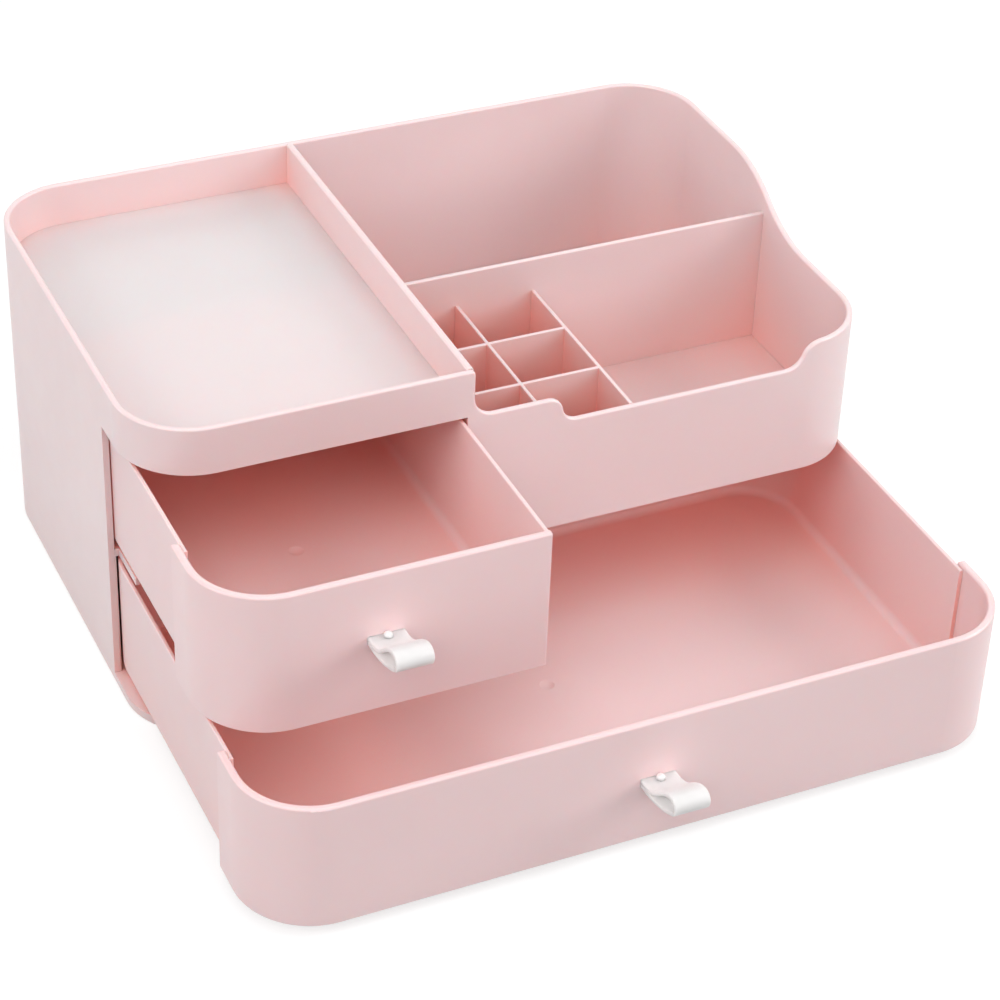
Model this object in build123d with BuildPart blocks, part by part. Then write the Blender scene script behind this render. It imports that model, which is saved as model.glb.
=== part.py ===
from build123d import *
from math import cos, radians, sin, tan
import os

# Makeup organizer: a tray tower and a compartment section over two sliding drawers.
# Millimetres. X right, Y to the back, Z up. The origin is the middle of the base's underside.
# The drawers are drawn part-way open, each by its own named distance.

# Case
case_width = 300.0
case_depth = 188.0
case_height = 137.0
corner_radius = 29.0
shell_wall = 2.4
rim_round = 0.9
base_thickness = 4.0
base_round = 0.8
side_setback = 43.0  # front edges of the side walls, behind the front face

# Tray tower at the left
tower_width = 125.8  # outer left face to the partition
partition_thickness = 2.8
tray_depth = 17.8
tray_floor_thickness = 1.6

# Mid shelf, also the floor of the compartments
shelf_height = 61.9  # top of the shelf
shelf_thickness = 3.2
shelf_setback = 23.0  # front edge of the shelf under the upper drawer
rear_floor_drop = 2.0  # floor of the rear slot below the rest of the shelf

# Compartment section at the right
mid_rim_drop = 20.0  # below the top of the case
low_rim_drop = 30.7
partition_nose = 2.0  # round at the partition's upper front corner
notch_round = 8.0  # hollow round from the partition down to the rim
left_land = 30.0  # level rim beside the partition
left_step_run = 12.5
right_step_run = 15.0
right_step_end = 25.3  # in from the right face
side_rise_start = 58.0  # behind the front face
side_rise_run = 63.0
cell_width = 31.7
cell_depth = 29.3
front_cell_depth = 26.5
cell_wall = 1.5
cell_round = 0.4
divider_thickness = 2.0
divider_drop = 16.5  # below the top of the case
divider_round = 0.6

# Drawers
front_gap = 0.9  # around the drawer fronts
side_clearance = 0.6  # between a tray and the walls of its bay
run_clearance = 0.3  # between a tray and what it slides on
fit_clearance = 0.05  # between pieces that are fixed together
closed_gap = 0.4  # behind the fronts when shut
back_clearance = 4.0  # behind the trays when shut
tongue_clearance = 1.1  # between the shelf and the front that closes round it
tray_wall = 1.6
tray_base = 1.6
tray_bottom_round = 5.0
tray_rim_drop = 1.2  # tray rim below the top of its front
lap_length = 4.2  # tray wall inside the front
front_round = 1.0
tray_round = 0.5
gate_diameter = 6.0
gate_depth = 0.5
upper_open = 76.0
lower_open = 118.5

# Pulls
strap_width = 14.0
strap_thickness = 1.6
layer_gap = 0.2
tab_length = 5.0
loop_turn_out = 24.2  # where the lower side turns up, out from the face
loop_turn_up = 4.8
loop_rise = 10.35
ramp_angle = 38.0  # upper side between its two bends
hollow_radius = 11.0  # bend up from the tab
crown_radius = 8.0  # bend over to the top of the loop
tail_width = 10.0
tail_height = 2.4
tail_end = 0.8  # tail past its retainer
retainer_width = 18.0
retainer_height = 9.0
retainer_thickness = 1.6
rivet_place = 2.0  # out from the face
rivet_diameter = 1.8
rivet_head = 3.4
rivet_head_height = 1.7
rivet_foot_height = 0.5
rivet_round = 1.3

# Worked out from the sizes above
left_x = -case_width / 2
right_x = case_width / 2
front_y = -case_depth / 2
bay_width = case_width - 2 * shell_wall
bay_depth = case_depth - 2 * shell_wall
bay_radius = corner_radius - shell_wall
bay_back = case_depth / 2 - shell_wall
floor_width = bay_width - 2 * fit_clearance
floor_depth = bay_depth - 2 * fit_clearance
floor_radius = bay_radius - fit_clearance
partition_left = left_x + tower_width
partition_right = partition_left + partition_thickness
tray_floor_top = case_height - tray_depth
apron_bottom = tray_floor_top - tray_floor_thickness
shelf_bottom = shelf_height - shelf_thickness
mid_rim_height = case_height - mid_rim_drop
low_rim_height = case_height - low_rim_drop
divider_height = case_height - divider_drop
wall_front = front_y + shell_wall
cells_right = partition_right + 2 * cell_width + 2 * cell_wall
divider_front = wall_front + front_cell_depth + 2 * cell_depth + 2 * cell_wall
divider_back = divider_front + divider_thickness
tray_inset = shell_wall + side_clearance
front_wall = tray_inset - fit_clearance
tongue_inset = front_wall + tongue_clearance
lower_front_bottom = base_thickness + front_gap
lower_front_top = shelf_bottom - front_gap
upper_front_bottom = shelf_bottom
upper_front_top = apron_bottom - front_gap
upper_right = partition_left - front_gap
tray_left = left_x + tray_inset
tray_right = right_x - tray_inset
tray_back = bay_back - back_clearance
tray_back_round = bay_radius - side_clearance
tray_square_round = tray_bottom_round + tray_wall  # back corner beside the partition
gate_radius = (gate_diameter**2 / 4 + gate_depth**2) / (2 * gate_depth)
upper_face = front_y - upper_open
lower_face = front_y - lower_open
tab_half = strap_thickness + layer_gap / 2
upper_floor = shelf_height + run_clearance
lower_floor = base_thickness + run_clearance
upper_pull_height = (upper_floor + upper_front_top) / 2
lower_pull_height = (lower_floor + lower_front_top) / 2


def s_step(start, end):
    # two equal arcs that leave and arrive level
    middle = ((start[0] + end[0]) / 2, (start[1] + end[1]) / 2)
    first = TangentArc(start, middle, tangent=(end[0] - start[0], 0))
    TangentArc(middle, end, tangent=first % 1)


def rim_edges(piece, lowest):
    # edges along a rim: those of its upward faces, without the seams between them
    upward = [f for f in piece.faces() if f.center().Z > lowest and f.normal_at(f.center()).Z > 0.01]
    edges = [e for f in upward for e in f.edges()]
    return [e for e in edges if sum(e.is_same(other) for other in edges) == 1]


# Outer shell: a rounded wall on the base, open at the front for the drawers
with BuildPart() as outer_shell:
    with BuildSketch(Plane.XY.offset(base_thickness)):
        RectangleRounded(case_width, case_depth, corner_radius)
        RectangleRounded(bay_width, bay_depth, bay_radius, mode=Mode.SUBTRACT)
    extrude(amount=case_height - base_thickness)
    # mouth of the lower drawer, over the whole width
    with BuildSketch(Plane.XY.offset(base_thickness)):
        with Locations((0, front_y)):
            Rectangle(case_width, 2 * side_setback)
    extrude(amount=shelf_bottom - base_thickness, mode=Mode.SUBTRACT)
    # mouth of the upper drawer, up to the partition
    with BuildSketch(Plane.XY.offset(shelf_bottom)):
        with Locations((left_x, front_y)):
            Rectangle(2 * tower_width, 2 * side_setback)
    extrude(amount=apron_bottom - shelf_bottom, mode=Mode.SUBTRACT)
    # stepped rim of the front wall
    land_end = partition_right + left_land
    step_end = right_x - right_step_end
    with BuildSketch(Plane.XZ.offset(case_depth / 2)):
        with BuildLine():
            RadiusArc(
                (partition_right - partition_nose, case_height),
                (partition_right, case_height - partition_nose),
                partition_nose,
            )
            Line(
                (partition_right, case_height - partition_nose),
                (partition_right, mid_rim_height + notch_round),
            )
            RadiusArc(
                (partition_right, mid_rim_height + notch_round),
                (partition_right + notch_round, mid_rim_height),
                -notch_round,
            )
            Line((partition_right + notch_round, mid_rim_height), (land_end, mid_rim_height))
            s_step((land_end, mid_rim_height), (land_end + left_step_run, low_rim_height))
            Line(
                (land_end + left_step_run, low_rim_height),
                (step_end - right_step_run, low_rim_height),
            )
            s_step((step_end - right_step_run, low_rim_height), (step_end, mid_rim_height))
            Polyline(
                (step_end, mid_rim_height),
                (right_x, mid_rim_height),
                (right_x, case_height),
                (partition_right - partition_nose, case_height),
            )
        make_face()
    extrude(amount=-corner_radius, mode=Mode.SUBTRACT)
    # rim of the right wall, rising to the back
    rise_start = front_y + side_rise_start
    rise_end = rise_start + side_rise_run
    with BuildSketch(Plane.YZ.offset(right_x)):
        with BuildLine():
            Line((front_y + corner_radius, mid_rim_height), (rise_start, mid_rim_height))
            s_step((rise_start, mid_rim_height), (rise_end, case_height))
            Polyline(
                (rise_end, case_height),
                (front_y + corner_radius, case_height),
                (front_y + corner_radius, mid_rim_height),
            )
        make_face()
    extrude(amount=-corner_radius, mode=Mode.SUBTRACT)
    fillet(rim_edges(outer_shell, low_rim_height - rim_round), rim_round)

# Base plate
with BuildPart() as base_plate:
    with BuildSketch():
        RectangleRounded(case_width, case_depth, corner_radius)
    extrude(amount=base_thickness)
    fillet(base_plate.edges().group_by(Axis.Z)[0], base_round)

# Mid shelf: inside the shell, with a tongue at the left that the upper front closes round,
# and a lower floor behind the rear divider
with BuildPart() as mid_shelf:
    with BuildSketch(Plane.XY.offset(shelf_bottom)):
        RectangleRounded(floor_width, floor_depth, floor_radius)
        with Locations((left_x, front_y)):
            Rectangle(2 * tower_width, 2 * side_setback, mode=Mode.SUBTRACT)
    extrude(amount=shelf_thickness)
    with BuildSketch(Plane.XY.offset(shelf_bottom)):
        with Locations((left_x + tongue_inset, front_y + shelf_setback)):
            Rectangle(
                tower_width - tongue_inset, side_setback - shelf_setback, align=(Align.MIN, Align.MIN)
            )
    extrude(amount=shelf_thickness)
    with BuildSketch(Plane.XY.offset(shelf_height)):
        with Locations((partition_right, divider_back)):
            Rectangle(right_x - partition_right, bay_back - divider_back, align=(Align.MIN, Align.MIN))
    extrude(amount=-rear_floor_drop, mode=Mode.SUBTRACT)

# Partition between the tower and the compartments
with BuildPart() as partition_wall:
    with BuildSketch(Plane.XY.offset(shelf_height)):
        with Locations((partition_left, wall_front)):
            Rectangle(partition_thickness, bay_depth, align=(Align.MIN, Align.MIN))
    extrude(amount=case_height - shelf_height)
    fillet(partition_wall.edges().filter_by(Axis.Y).group_by(Axis.Z)[-1], rim_round)

# Floor of the tray
with BuildPart() as tray_floor:
    with BuildSketch(Plane.XY.offset(apron_bottom)):
        RectangleRounded(floor_width, floor_depth, floor_radius)
        with Locations((left_x, 0)):
            Rectangle(2 * tower_width, case_depth, mode=Mode.INTERSECT)
    extrude(amount=tray_floor_thickness)

# Rear divider
with BuildPart() as rear_divider:
    with BuildSketch(Plane.XY.offset(shelf_height)):
        with Locations((partition_right, divider_front)):
            Rectangle(bay_width / 2 - partition_right, divider_thickness, align=(Align.MIN, Align.MIN))
    extrude(amount=divider_height - shelf_height)
    fillet(rear_divider.edges().filter_by(Axis.X).group_by(Axis.Z)[-1], divider_round)

# Lipstick cells: two long walls and two cross walls, level with the low front rim
with BuildPart() as cell_insert:
    with BuildSketch(Plane.XY.offset(shelf_height)):
        for column in (0, 1):
            column_left = partition_right + cell_width + column * (cell_width + cell_wall)
            with Locations((column_left, wall_front)):
                Rectangle(cell_wall, divider_front - wall_front, align=(Align.MIN, Align.MIN))
        for row in (0, 1):
            row_front = wall_front + front_cell_depth + row * (cell_depth + cell_wall)
            with Locations((partition_right, row_front)):
                Rectangle(cells_right - partition_right, cell_wall, align=(Align.MIN, Align.MIN))
    extrude(amount=low_rim_height - shelf_height)
    fillet(cell_insert.edges().group_by(Axis.Z)[-1], cell_round)


def drawer_front(face, right, bottom, top, wraps_right, pull_middle, pull_height):
    # thick front whose rounded corners run back along the sides; the left side always wraps
    depth = side_setback - closed_gap
    with BuildPart() as front:
        for inset, mode in ((0, Mode.ADD), (front_wall, Mode.SUBTRACT)):
            edge = right - inset if wraps_right else right
            with BuildSketch(Plane.XY.offset(bottom)) as plan:
                with Locations((left_x + inset, face + inset)):
                    Rectangle(edge - left_x - inset, depth - inset, align=(Align.MIN, Align.MIN))
                corners = plan.vertices().group_by(Axis.Y)[0].sort_by(Axis.X)
                fillet(corners if wraps_right else corners[0], corner_radius - inset)
            extrude(amount=top - bottom, mode=mode)
        if not wraps_right:
            outer_right = front.edges().filter_by(Axis.Z).group_by(Axis.X)[-1].sort_by(Axis.Y)[0]
            fillet(outer_right, front_round)
        fillet(front.edges().group_by(Axis.Z)[-1], front_round)
        # slot for the tail of the pull
        with BuildSketch(Plane.XZ.offset(-face)):
            with Locations((pull_middle, pull_height)):
                Rectangle(tail_width + 2 * fit_clearance, tail_height + 2 * fit_clearance)
        extrude(amount=-front_wall, mode=Mode.SUBTRACT)
    return front.part


def round_back_corners(plan, left_round, right_round):
    # the right corner first; the ends of the back edge are looked up again for the left one
    fillet(plan.vertices().group_by(Axis.Y)[-1].sort_by(Axis.X)[-1], right_round)
    fillet(plan.vertices().group_by(Axis.Y)[-1].sort_by(Axis.X)[0], left_round)


def drawer_tray(face, right, back, floor, rim, wraps_right):
    # floor that reaches the front's inner face, with walls round the part behind the lap
    floor_front = face + tray_inset
    lap = face + side_setback - closed_gap - lap_length
    right_round = tray_back_round if wraps_right else tray_square_round
    with BuildPart() as tray:
        with BuildSketch(Plane.XY.offset(floor)) as box_plan:
            with Locations((tray_left, lap)):
                Rectangle(right - tray_left, back - lap, align=(Align.MIN, Align.MIN))
            round_back_corners(box_plan, tray_back_round, right_round)
        extrude(amount=rim - floor)
        bottom = tray.edges().group_by(Axis.Z)[0].sort_by(Axis.Y)
        fillet(bottom[1:], tray_bottom_round)
        with BuildPart(mode=Mode.SUBTRACT) as hollow:
            with BuildSketch(Plane.XY.offset(floor + tray_base)) as hollow_plan:
                with Locations((tray_left + tray_wall, lap)):
                    hollow_width = right - tray_left - 2 * tray_wall
                    Rectangle(hollow_width, back - lap - tray_wall, align=(Align.MIN, Align.MIN))
                round_back_corners(hollow_plan, tray_back_round - tray_wall, right_round - tray_wall)
            extrude(amount=rim - floor - tray_base)
            hollow_bottom = hollow.edges().group_by(Axis.Z)[0].sort_by(Axis.Y)
            fillet(hollow_bottom[1:], tray_bottom_round - tray_wall)
        # floor in front of the lap, inside the rounded front
        with BuildSketch(Plane.XY.offset(floor)) as floor_plan:
            with Locations((tray_left, floor_front)):
                Rectangle(right - tray_left, lap - floor_front, align=(Align.MIN, Align.MIN))
            corners = floor_plan.vertices().group_by(Axis.Y)[0].sort_by(Axis.X)
            fillet(corners if wraps_right else corners[0], corner_radius - tray_inset)
        extrude(amount=tray_base)
        if not wraps_right:
            # right wall carries on to the back of the front
            with BuildSketch(Plane.XY.offset(floor)):
                with Locations((right - tray_wall, floor_front)):
                    Rectangle(tray_wall, lap - floor_front, align=(Align.MIN, Align.MIN))
            extrude(amount=rim - floor)
        fillet(tray.edges().group_by(Axis.Z)[-1], tray_round)
        # moulding mark in the middle of the floor, a shallow dish
        dish_level = floor + tray_base - gate_depth + gate_radius
        with Locations(((tray_left + right) / 2, (face + back) / 2, dish_level)):
            Sphere(gate_radius, mode=Mode.SUBTRACT)
    return tray.part


def strap_pull(middle, height, face):
    # strap folded into a loop: profile out from the face and up, run along X
    layer = (strap_thickness + layer_gap) / 2
    slope = (loop_turn_up + layer) / (loop_turn_out - tab_length)
    loop_top = (loop_turn_out - (loop_rise - loop_turn_up) * slope, loop_rise)
    ramp = radians(ramp_angle)
    ramp_head = (loop_top[0] - crown_radius * sin(ramp), loop_rise - crown_radius * (1 - cos(ramp)))
    foot_up = layer + hollow_radius * (1 - cos(ramp))
    ramp_foot = (ramp_head[0] - (ramp_head[1] - foot_up) / tan(ramp), foot_up)
    bend_start = ramp_foot[0] - hollow_radius * sin(ramp)
    side = Plane(origin=(middle + strap_width / 2, face, height), x_dir=(0, -1, 0), z_dir=(-1, 0, 0))
    with BuildPart() as pull:
        with BuildSketch(side):
            with BuildLine():
                Line((0, layer), (bend_start, layer))
                TangentArc((bend_start, layer), ramp_foot, tangent=(1, 0))
                Line(ramp_foot, ramp_head)
                TangentArc(ramp_head, loop_top, tangent=(cos(ramp), sin(ramp)))
                Line((0, -layer), (tab_length, -layer))
                under = TangentArc((tab_length, -layer), (loop_turn_out, loop_turn_up), tangent=(1, 0))
                TangentArc((loop_turn_out, loop_turn_up), loop_top, tangent=under % 1)
            trace(line_width=strap_thickness)
            with Locations((tab_length / 2, 0)):
                Rectangle(tab_length, 2 * layer)
        extrude(amount=strap_width)
        # tail through the front and its retainer
        with BuildSketch(Plane.XZ.offset(-face)):
            with Locations((middle, height)):
                Rectangle(tail_width, tail_height)
        extrude(amount=-(front_wall + retainer_thickness + tail_end))
        with BuildSketch(Plane.XY.offset(height)):
            with Locations((middle, face - rivet_place)):
                Circle(rivet_diameter / 2 + fit_clearance)
        extrude(amount=tab_half, both=True, mode=Mode.SUBTRACT)
    return pull.part


def pull_rivet(middle, height, face):
    # shank through both layers, with a head above and a flatter one below
    with BuildPart() as rivet:
        with BuildSketch(Plane.XY.offset(height - tab_half)):
            with Locations((middle, face - rivet_place)):
                Circle(rivet_diameter / 2)
        extrude(amount=2 * tab_half)
        for level, head_height in (
            (height + tab_half, rivet_head_height),
            (height - tab_half, -rivet_foot_height),
        ):
            with BuildSketch(Plane.XY.offset(level)):
                with Locations((middle, face - rivet_place)):
                    Circle(rivet_head / 2)
            extrude(amount=head_height)
        fillet(rivet.edges().group_by(Axis.Z)[-1], rivet_round)
    return rivet.part


def pull_retainer(middle, height, face):
    # plate against the back of the front, pushed on the tail
    with BuildPart() as retainer:
        with BuildSketch(Plane.XZ.offset(-face - front_wall)):
            with Locations((middle, height)):
                Rectangle(retainer_width, retainer_height)
                Rectangle(
                    tail_width + 2 * fit_clearance, tail_height + 2 * fit_clearance, mode=Mode.SUBTRACT
                )
        extrude(amount=-retainer_thickness)
    return retainer.part


upper_middle = (left_x + upper_right) / 2
pieces = {
    "outer_shell": outer_shell.part,
    "base_plate": base_plate.part,
    "mid_shelf": mid_shelf.part,
    "partition_wall": partition_wall.part,
    "tray_floor": tray_floor.part,
    "rear_divider": rear_divider.part,
    "cell_insert": cell_insert.part,
    "upper_drawer_tray": drawer_tray(
        upper_face, upper_right, tray_back - upper_open, upper_floor, upper_front_top - tray_rim_drop, False
    ),
    "upper_drawer_front": drawer_front(
        upper_face, upper_right, upper_front_bottom, upper_front_top, False, upper_middle, upper_pull_height
    ),
    "lower_drawer_tray": drawer_tray(
        lower_face, tray_right, tray_back - lower_open, lower_floor, lower_front_top - tray_rim_drop, True
    ),
    "lower_drawer_front": drawer_front(
        lower_face, right_x, lower_front_bottom, lower_front_top, True, 0, lower_pull_height
    ),
}
for drawer, place in (
    ("upper", (upper_middle, upper_pull_height, upper_face)),
    ("lower", (0, lower_pull_height, lower_face)),
):
    pieces[f"{drawer}_pull"] = strap_pull(*place)
    pieces[f"{drawer}_pull_rivet"] = pull_rivet(*place)
    pieces[f"{drawer}_pull_retainer"] = pull_retainer(*place)

os.makedirs("parts", exist_ok=True)
for name, piece in pieces.items():
    piece.label = name
    export_step(piece, f"parts/{name}.step")
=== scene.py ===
import bpy
import math
import numpy as np
from mathutils import Matrix, Vector


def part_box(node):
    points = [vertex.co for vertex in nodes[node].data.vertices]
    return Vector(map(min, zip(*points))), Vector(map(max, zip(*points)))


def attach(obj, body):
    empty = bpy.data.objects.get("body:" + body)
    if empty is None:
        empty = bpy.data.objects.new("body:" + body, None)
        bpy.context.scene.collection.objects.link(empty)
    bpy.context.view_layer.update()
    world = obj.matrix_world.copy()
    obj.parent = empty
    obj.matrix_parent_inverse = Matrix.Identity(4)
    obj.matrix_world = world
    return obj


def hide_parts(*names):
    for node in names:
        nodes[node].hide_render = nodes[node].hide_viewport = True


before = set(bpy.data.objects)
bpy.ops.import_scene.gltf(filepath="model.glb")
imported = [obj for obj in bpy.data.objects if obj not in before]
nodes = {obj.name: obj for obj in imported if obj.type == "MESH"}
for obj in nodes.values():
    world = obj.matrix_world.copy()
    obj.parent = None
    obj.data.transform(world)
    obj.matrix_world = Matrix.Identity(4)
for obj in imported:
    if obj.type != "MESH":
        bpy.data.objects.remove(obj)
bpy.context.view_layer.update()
print("frame loaded:", len(nodes), "nodes")


# small helpers for the node trees

noiseSpan = (0.3, 0.7)      # nearly all of a noise lies between these
hollowRays = 6              # rays sent out from each point to feel the walls around it


def newMaterial(name):
    mat = bpy.data.materials.new(name)
    mat.use_nodes = True
    tree = mat.node_tree
    tree.nodes.clear()
    out = tree.nodes.new("ShaderNodeOutputMaterial")
    shader = tree.nodes.new("ShaderNodeBsdfPrincipled")
    tree.links.new(shader.outputs["BSDF"], out.inputs["Surface"])
    return mat, tree, shader


def noiseAt(tree, coords, scale, detail):
    noise = tree.nodes.new("ShaderNodeTexNoise")
    noise.inputs["Scale"].default_value = scale
    noise.inputs["Detail"].default_value = detail
    tree.links.new(coords, noise.inputs["Vector"])
    return noise.outputs["Fac"]


def spread(tree, value, low, high):
    # the noise taken out to the low and high values
    ranged = tree.nodes.new("ShaderNodeMapRange")
    ranged.inputs["From Min"].default_value = noiseSpan[0]
    ranged.inputs["From Max"].default_value = noiseSpan[1]
    ranged.inputs["To Min"].default_value = low
    ranged.inputs["To Max"].default_value = high
    tree.links.new(value, ranged.inputs["Value"])
    return ranged.outputs["Result"]


def tone(tree, value, stops):
    # color ramp through (position, color) stops
    ramp = tree.nodes.new("ShaderNodeValToRGB")
    elements = ramp.color_ramp.elements
    while len(elements) < len(stops):
        elements.new(0.5)
    for element, (place, color) in zip(elements, stops):
        element.position = place
        element.color = (*color, 1)
    tree.links.new(value, ramp.inputs["Fac"])
    return ramp.outputs["Color"]


def grain(tree, coords, layers):
    # bump nodes in a chain, one for each layer of (scale, detail, strength, distance)
    normal = None
    for scale, detail, strength, distance in layers:
        bump = tree.nodes.new("ShaderNodeBump")
        bump.inputs["Strength"].default_value = strength
        bump.inputs["Distance"].default_value = distance
        tree.links.new(noiseAt(tree, coords, scale, detail), bump.inputs["Height"])
        if normal is not None:
            tree.links.new(normal, bump.inputs["Normal"])
        normal = bump.outputs["Normal"]
    return normal


def openness(tree, reach, alone):
    # 0 deep in a hollow, 1 on an open face; alone leaves the neighbours out
    around = tree.nodes.new("ShaderNodeAmbientOcclusion")
    around.samples = hollowRays
    around.only_local = alone
    around.inputs["Distance"].default_value = reach
    return around.outputs["AO"]


def timesColor(tree, first, second):
    mix = tree.nodes.new("ShaderNodeMixRGB")
    mix.blend_type = "MULTIPLY"
    mix.inputs["Fac"].default_value = 1.0
    tree.links.new(first, mix.inputs["Color1"])
    tree.links.new(second, mix.inputs["Color2"])
    return mix.outputs["Color"]


def plastic(name, values):
    mat, tree, shader = newMaterial(name)
    coords = tree.nodes.new("ShaderNodeTexCoord").outputs["Object"]
    # painted light and shade: the base colour follows how open the surface is, through the painted
    # hollow tones
    paintedHollowTone = tone(tree, openness(tree, values["reach"], values["alone"]), values["paintedHollowTones"])
    patchy = tone(tree, noiseAt(tree, coords, *values["cloud"]), values["cloudTones"])
    tree.links.new(timesColor(tree, paintedHollowTone, patchy), shader.inputs["Base Color"])
    matt = spread(tree, noiseAt(tree, coords, *values["matt"]), values["roughLow"], values["roughHigh"])
    tree.links.new(matt, shader.inputs["Roughness"])
    tree.links.new(grain(tree, coords, values["grain"]), shader.inputs["Normal"])
    shader.inputs["Specular IOR Level"].default_value = values["specular"]
    shader.inputs["Subsurface Weight"].default_value = values["glow"]
    shader.inputs["Subsurface Radius"].default_value = values["glowReach"]
    shader.inputs["Subsurface Scale"].default_value = values["glowScale"]
    return mat


# plastics of the case, the drawers and the pulls

pinkValues = {
    # painted light and shade: the pink is painted fuller from open faces into hollows, standing in for
    # the light that goes to and fro between the walls
    "paintedHollowTones": (
        (0.10, (0.930, 0.460, 0.400)), (0.25, (0.840, 0.550, 0.515)), (0.45, (0.750, 0.585, 0.585)),
        (0.65, (0.780, 0.625, 0.630)), (0.90, (0.830, 0.670, 0.675)),
    ),
    "reach": 0.09,          # how far a hollow is felt
    "alone": False,
    "cloud": (14.0, 3),     # tone patches: scale per metre, detail
    "cloudTones": ((0.3, (0.97, 0.96, 0.96)), (0.7, (1.0, 1.0, 1.0))),
    "matt": (90.0, 4),      # roughness patches
    "roughLow": 0.31,
    "roughHigh": 0.39,
    "specular": 0.8,
    # fine eroded grain of the mould, then slow waves: scale, detail, strength, distance
    "grain": ((2600.0, 2, 0.05, 0.0002), (28.0, 1, 0.03, 0.001)),
    "glow": 0.4,            # light let into the thin walls
    "glowReach": (1.0, 0.35, 0.25),
    "glowScale": 0.0015,
}
# the drawers are the same plastic, rougher and less glossy, with warmer painted light and shade, fuller
# in their hollows
trayValues = {
    **pinkValues,
    "roughLow": 0.44,
    "roughHigh": 0.52,
    "specular": 0.5,
    "paintedHollowTones": (
        (0.10, (0.985, 0.450, 0.385)), (0.25, (0.930, 0.535, 0.490)), (0.45, (0.850, 0.600, 0.590)),
        (0.65, (0.850, 0.645, 0.645)), (0.90, (0.860, 0.670, 0.675)),
    ),
}
# the painted hollow shade on the drawer fronts leaves the pulls out, so they put no painted shade on
# them
frontValues = {
    **trayValues,
    "alone": True,
    "roughLow": 0.31,
    "roughHigh": 0.39,
    "specular": 0.8,
    "paintedHollowTones": (
        (0.45, (0.850, 0.600, 0.590)), (0.65, (0.850, 0.625, 0.625)), (0.90, (0.858, 0.642, 0.647)),
    ),
}
# thin floors let more of the light through, the red of it most
thinValues = {
    **pinkValues,
    "glowReach": (1.0, 0.12, 0.09),
    "glowScale": 0.012,
    # painted light: their hollows are painted a fuller red, standing in for the red light let through
    "paintedHollowTones": (
        (0.10, (1.000, 0.420, 0.360)), (0.25, (0.960, 0.460, 0.420)), (0.45, (0.770, 0.580, 0.580)),
        (0.65, (0.780, 0.625, 0.630)), (0.90, (0.830, 0.670, 0.675)),
    ),
}
whiteValues = {
    # painted light: the white is painted paler in its hollows, standing in for the light the strap lets
    # through
    "paintedHollowTones": (
        (0.20, (1.000, 0.990, 0.970)), (0.60, (0.925, 0.920, 0.910)), (0.80, (0.810, 0.810, 0.805)),
        (0.95, (0.765, 0.765, 0.760)),
    ),
    "reach": 0.03,
    "alone": False,
    "cloud": (120.0, 2),
    "cloudTones": ((0.3, (0.97, 0.97, 0.97)), (0.7, (1.0, 1.0, 1.0))),
    "matt": (400.0, 3),
    "roughLow": 0.33,
    "roughHigh": 0.40,
    "specular": 0.5,
    "grain": ((160.0, 1, 0.03, 0.0005),),
    "glow": 1.0,            # soft milky strap
    "glowReach": (1.0, 1.0, 1.0),
    "glowScale": 0.006,
}

casePink = plastic("casePink", pinkValues)
pullWhite = plastic("pullWhite", whiteValues)
thinPink = plastic("thinPink", thinValues)
trayPink = plastic("trayPink", trayValues)
frontPink = plastic("frontPink", frontValues)


def finishFor(name):
    if "pull" in name:
        return pullWhite
    if "drawer" in name:
        return frontPink if name.endswith("front") else trayPink
    return thinPink if name in ("tray_floor", "mid_shelf") else casePink


for name, node in nodes.items():
    node.data.materials[0] = finishFor(name)
print("materials set")


# strap pulls, each one strip folded over into a loop

strapValues = {
    "width": 0.014,
    "thick": 0.0016,
    "tail": 0.00535,        # from the pull's back end out to the drawer's face
    "middle": 0.0017,       # from the pull's underside up to its middle
    "edge": 0.0005,         # rounding of the strip's long edges
    "steps": 180,           # along the loop
    "corner": 7,            # points on each rounded edge
    # middle line of the strip: out from the drawer's face, up from the pull's middle, in mm
    "line": (
        (-0.6, 0.90), (1.5, 0.90), (3.8, 0.95), (6.0, 1.30), (8.2, 2.05), (10.6, 3.45), (13.7, 5.95),
        (16.8, 8.30), (20.0, 9.92), (22.6, 10.32), (24.5, 9.62), (25.4, 8.15), (25.3, 6.80),
        (24.5, 5.25), (22.7, 4.00), (18.0, 1.95), (13.1, 0.40), (8.7, -0.45), (4.2, -0.88),
        (1.5, -0.90), (-0.6, -0.90),
    ),
}


def smoothLine(points, count):
    # cubic through the points: each span is a Hermite curve whose end slopes are the slope of the
    # chord between the neighbours, measured by the length of the chords
    points = np.asarray(points, float)
    chord = np.concatenate([[0], np.cumsum(np.linalg.norm(np.diff(points, axis=0), axis=1))])
    slope = np.gradient(points, chord, axis=0)
    at = np.linspace(0, chord[-1], count)
    span = np.clip(np.searchsorted(chord, at, side="right") - 1, 0, len(points) - 2)
    length = (chord[span + 1] - chord[span])[:, None]
    t = ((at - chord[span]) / length[:, 0])[:, None]
    return (
        (2 * t**3 - 3 * t**2 + 1) * points[span] + (t**3 - 2 * t**2 + t) * length * slope[span]
        + (3 * t**2 - 2 * t**3) * points[span + 1] + (t**3 - t**2) * length * slope[span + 1]
    )


def stripSection(width, thick, edge, corner):
    # rounded rectangle: four quarter circles of the edge radius, joined by the straight sides
    quarter = np.linspace(0, np.pi / 2, corner)
    angle = np.concatenate([quarter + turn * np.pi / 2 for turn in range(4)])
    alongSign = np.repeat([1, -1, -1, 1], corner)
    acrossSign = np.repeat([1, 1, -1, -1], corner)
    along = alongSign * (width / 2 - edge) + edge * np.cos(angle)
    across = acrossSign * (thick / 2 - edge) + edge * np.sin(angle)
    return along, across


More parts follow.
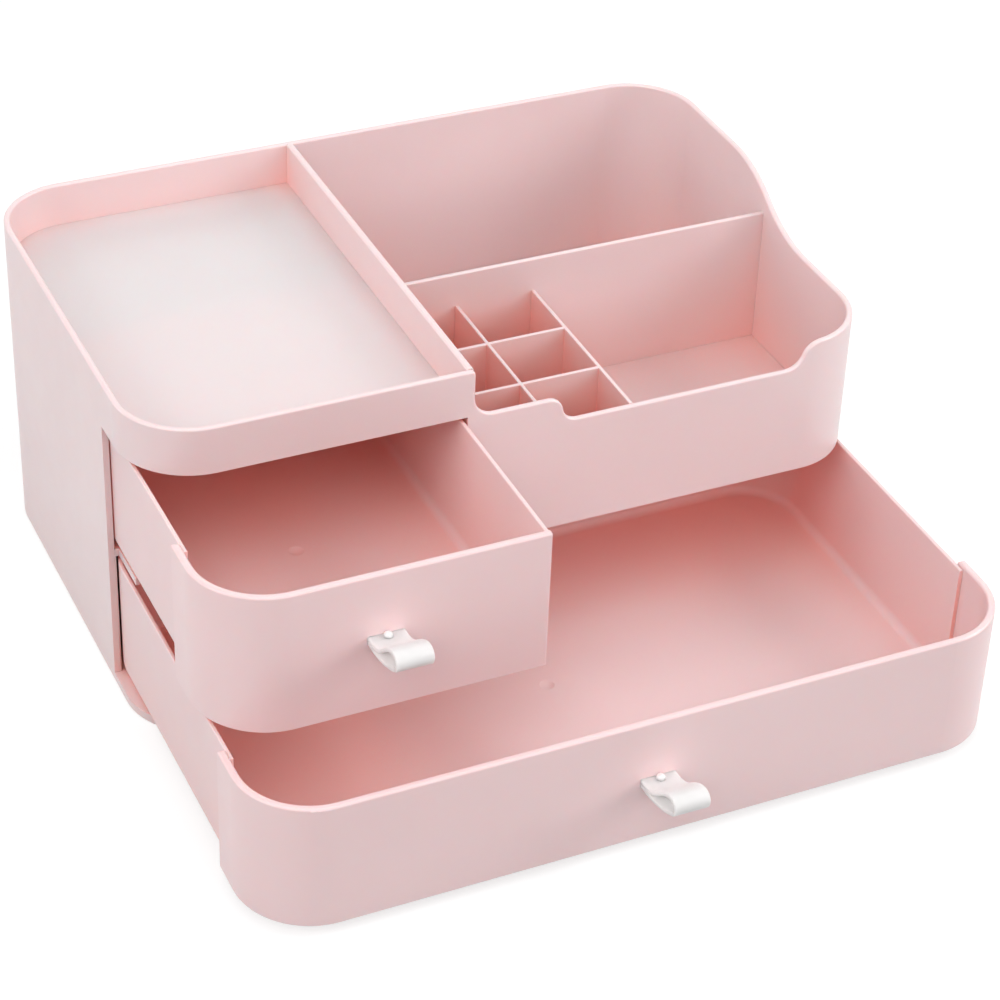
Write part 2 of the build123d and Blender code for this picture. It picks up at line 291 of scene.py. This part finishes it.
def ringFaces(rows, ring):
    # quads between each ring of points and the next, and a cap on each end
    first = np.arange(rows - 1)[:, None] * ring
    here = np.arange(ring)[None, :]
    after = (here + 1) % ring
    quads = np.stack([first + here, first + after, first + ring + after, first + ring + here], 2)
    caps = [list(range(ring - 1, -1, -1)), list(range((rows - 1) * ring, rows * ring))]
    return quads.reshape(-1, 4).tolist() + caps


def newPiece(name, points, finish):
    mesh = bpy.data.meshes.new(name)
    mesh.from_pydata(points.reshape(-1, 3).tolist(), [], ringFaces(*points.shape[:2]))
    mesh.shade_smooth()
    mesh.materials.append(finish)
    piece = bpy.data.objects.new(name, mesh)
    bpy.context.scene.collection.objects.link(piece)
    return piece


def strapPull(node, body, values):
    # the section carried along the middle line: its width stays along X, and its thickness
    # lies on the line's normal
    low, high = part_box(node)
    middle = (low[0] + high[0]) / 2
    face = high[1] - values["tail"]
    height = low[2] + values["middle"]
    line = smoothLine(values["line"], values["steps"]) / 1000
    run = np.gradient(line, axis=0)
    run /= np.linalg.norm(run, axis=1)[:, None]
    normal = np.stack([-run[:, 1], run[:, 0]], 1)
    along, across = stripSection(values["width"], values["thick"], values["edge"], values["corner"])
    out = line[:, None, 0] + across[None, :] * normal[:, None, 0]
    up = line[:, None, 1] + across[None, :] * normal[:, None, 1]
    points = np.stack([np.broadcast_to(middle + along, out.shape), face - out, height + up], 2)
    strap = newPiece(node + "Strap", points, pullWhite)
    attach(strap, body)
    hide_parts(node)


for node, body in (("upper_pull", "upper_drawer"), ("lower_pull", "lower_drawer")):
    strapPull(node, body, strapValues)
print("strap pulls made")


# guide ribs on the case's side walls, just inside the lower opening

ribValues = {
    "wall": 0.0024,         # thickness of the side wall
    "setback": 0.0431,      # front of the rib, behind the case's front
    "rise": 0.00055,        # out from the wall
    "sunk": 0.0005,         # into the wall, the base and the shelf
    "depth": 0.006,         # along the wall
    "edge": 0.0001,
    "corner": 5,
}


def guideRib(name, side, values):
    # the same rounded rectangle lying flat, carried straight up from the base to the shelf
    low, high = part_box("outer_shell")
    middle = side * (high[0] - values["wall"] + (values["sunk"] - values["rise"]) / 2)
    front = low[1] + values["setback"]
    along, across = stripSection(
        values["depth"], values["rise"] + values["sunk"], values["edge"], values["corner"]
    )
    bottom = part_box("base_plate")[1][2] - values["sunk"]
    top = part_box("mid_shelf")[0][2] + values["sunk"]
    x = np.tile(middle - across, (2, 1))
    y = np.tile(front + values["depth"] / 2 + along, (2, 1))
    z = np.broadcast_to([[bottom], [top]], x.shape)
    rib = newPiece(name, np.stack([x, y, z], 2), casePink)
    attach(rib, "case")


guideRib("leftGuideRib", -1, ribValues)
guideRib("rightGuideRib", 1, ribValues)
print("guide ribs made")


# studio: pale paper floor, soft lamps

studioValues = {
    "floorColor": (0.35, 0.35, 0.35),
    "floorLift": 0.70,      # white added where the floor is looked at
    "floorRadius": 1.6,
    "floorSides": 96,
    "floorDrop": 0.0002,    # below the base
    "worldLight": 0.136,    # on the object
    "worldSeen": 1.0,       # to the eye
    "worldMirrored": 0.8,
    "aim": (0.0, -0.05, 0.06),
    "lamps": {
        "key": {"place": (-0.9, -1.1, 1.5), "size": 1.1, "power": 11.3},
        "front": {"place": (0.2, -1.7, 1.0), "size": 1.4, "power": 10.6},
        "top": {"place": (0.0, 0.0, 1.7), "size": 1.4, "power": 8.0},
        "backTop": {"place": (0.67, 1.4, 1.15), "size": 1.5, "power": 5.1},
        "backLeft": {"place": (-1.3, 1.1, 0.7), "size": 1.0, "power": 6.1},
        "right": {"place": (1.5, -0.6, 0.9), "size": 1.0, "power": 18.0},
        "left": {"place": (-1.6, -0.3, 0.8), "size": 1.0, "power": 10.6},
    },
}


def combine(tree, operation, first, second):
    node = tree.nodes.new("ShaderNodeMath")
    node.operation = operation
    tree.links.new(first, node.inputs[0])
    if isinstance(second, float):
        node.inputs[1].default_value = second
    else:
        tree.links.new(second, node.inputs[1])
    return node.outputs[0]


def seenBy(tree, looked, mirrored):
    # strength where the surface is looked at, and where it is mirrored or seen through;
    # 0 where it only lights others
    rays = tree.nodes.new("ShaderNodeLightPath").outputs
    straight = combine(tree, "MULTIPLY", rays["Is Camera Ray"], looked)
    bent = combine(tree, "MAXIMUM", rays["Is Glossy Ray"], rays["Is Transmission Ray"])
    return combine(tree, "MAXIMUM", straight, combine(tree, "MULTIPLY", bent, mirrored))


def makeFloor(values):
    # one round face
    mesh = bpy.data.meshes.new("studioFloor")
    sides = values["floorSides"]
    ring = np.linspace(0, 2 * np.pi, sides, endpoint=False)
    flat = values["floorRadius"] * np.stack([np.cos(ring), np.sin(ring)], 1)
    points = np.column_stack([flat, np.full(sides, -values["floorDrop"])])
    mesh.from_pydata(points.tolist(), [], [list(range(sides))])
    floor = bpy.data.objects.new("studioFloor", mesh)
    bpy.context.scene.collection.objects.link(floor)
    mat = bpy.data.materials.new("studioPaper")
    mat.use_nodes = True
    tree = mat.node_tree
    tree.nodes.clear()
    out = tree.nodes.new("ShaderNodeOutputMaterial")
    paper = tree.nodes.new("ShaderNodeBsdfDiffuse")
    paper.inputs["Color"].default_value = (*values["floorColor"], 1)
    lift = tree.nodes.new("ShaderNodeEmission")
    both = tree.nodes.new("ShaderNodeAddShader")
    tree.links.new(seenBy(tree, values["floorLift"], values["floorLift"]), lift.inputs["Strength"])
    tree.links.new(paper.outputs[0], both.inputs[0])
    tree.links.new(lift.outputs[0], both.inputs[1])
    tree.links.new(both.outputs[0], out.inputs["Surface"])
    mesh.materials.append(mat)


def makeWorld(values):
    world = bpy.data.worlds.new("studioWorld")
    bpy.context.scene.world = world
    world.use_nodes = True
    tree = world.node_tree
    tree.nodes.clear()
    out = tree.nodes.new("ShaderNodeOutputWorld")
    glow = tree.nodes.new("ShaderNodeBackground")
    glow.inputs["Color"].default_value = (1, 1, 1, 1)
    seen = seenBy(tree, values["worldSeen"], values["worldMirrored"])
    tree.links.new(combine(tree, "MAXIMUM", seen, values["worldLight"]), glow.inputs["Strength"])
    tree.links.new(glow.outputs[0], out.inputs["Surface"])


def makeLamp(name, lamp, aim):
    data = bpy.data.lights.new(name, "AREA")
    data.shape = "SQUARE"
    data.size = lamp["size"]
    data.energy = lamp["power"]
    obj = bpy.data.objects.new(name, data)
    bpy.context.scene.collection.objects.link(obj)
    obj.location = lamp["place"]
    obj.rotation_euler = (Vector(aim) - Vector(lamp["place"])).to_track_quat("-Z", "Y").to_euler()


makeFloor(studioValues)
makeWorld(studioValues)
for lampName, lamp in studioValues["lamps"].items():
    makeLamp(lampName + "Light", lamp, studioValues["aim"])
print("studio set")


cameraValues = {
    "place": (-0.3946, -0.8973, 0.7032),
    "azimuth": -25.59,
    "elevation": 35.11,
    "roll": 2.33,
    "lens": 104.43,
    "sensor": 36.0,
}


def makeCamera(values):
    # turned to the azimuth, tipped down by the elevation, then rolled about its own axis
    data = bpy.data.cameras.new("photoCamera")
    data.sensor_width = values["sensor"]
    data.lens = values["lens"]
    camera = bpy.data.objects.new("photoCamera", data)
    bpy.context.scene.collection.objects.link(camera)
    turn = Matrix.Rotation(math.radians(values["azimuth"]), 3, "Z")
    tip = Matrix.Rotation(math.radians(90 - values["elevation"]), 3, "X")
    roll = Matrix.Rotation(math.radians(values["roll"]), 3, "Z")
    camera.location = values["place"]
    camera.rotation_euler = (turn @ tip @ roll).to_euler()
    bpy.context.scene.camera = camera


makeCamera(cameraValues)
bpy.context.scene.view_settings.view_transform = "Standard"
print("camera set")
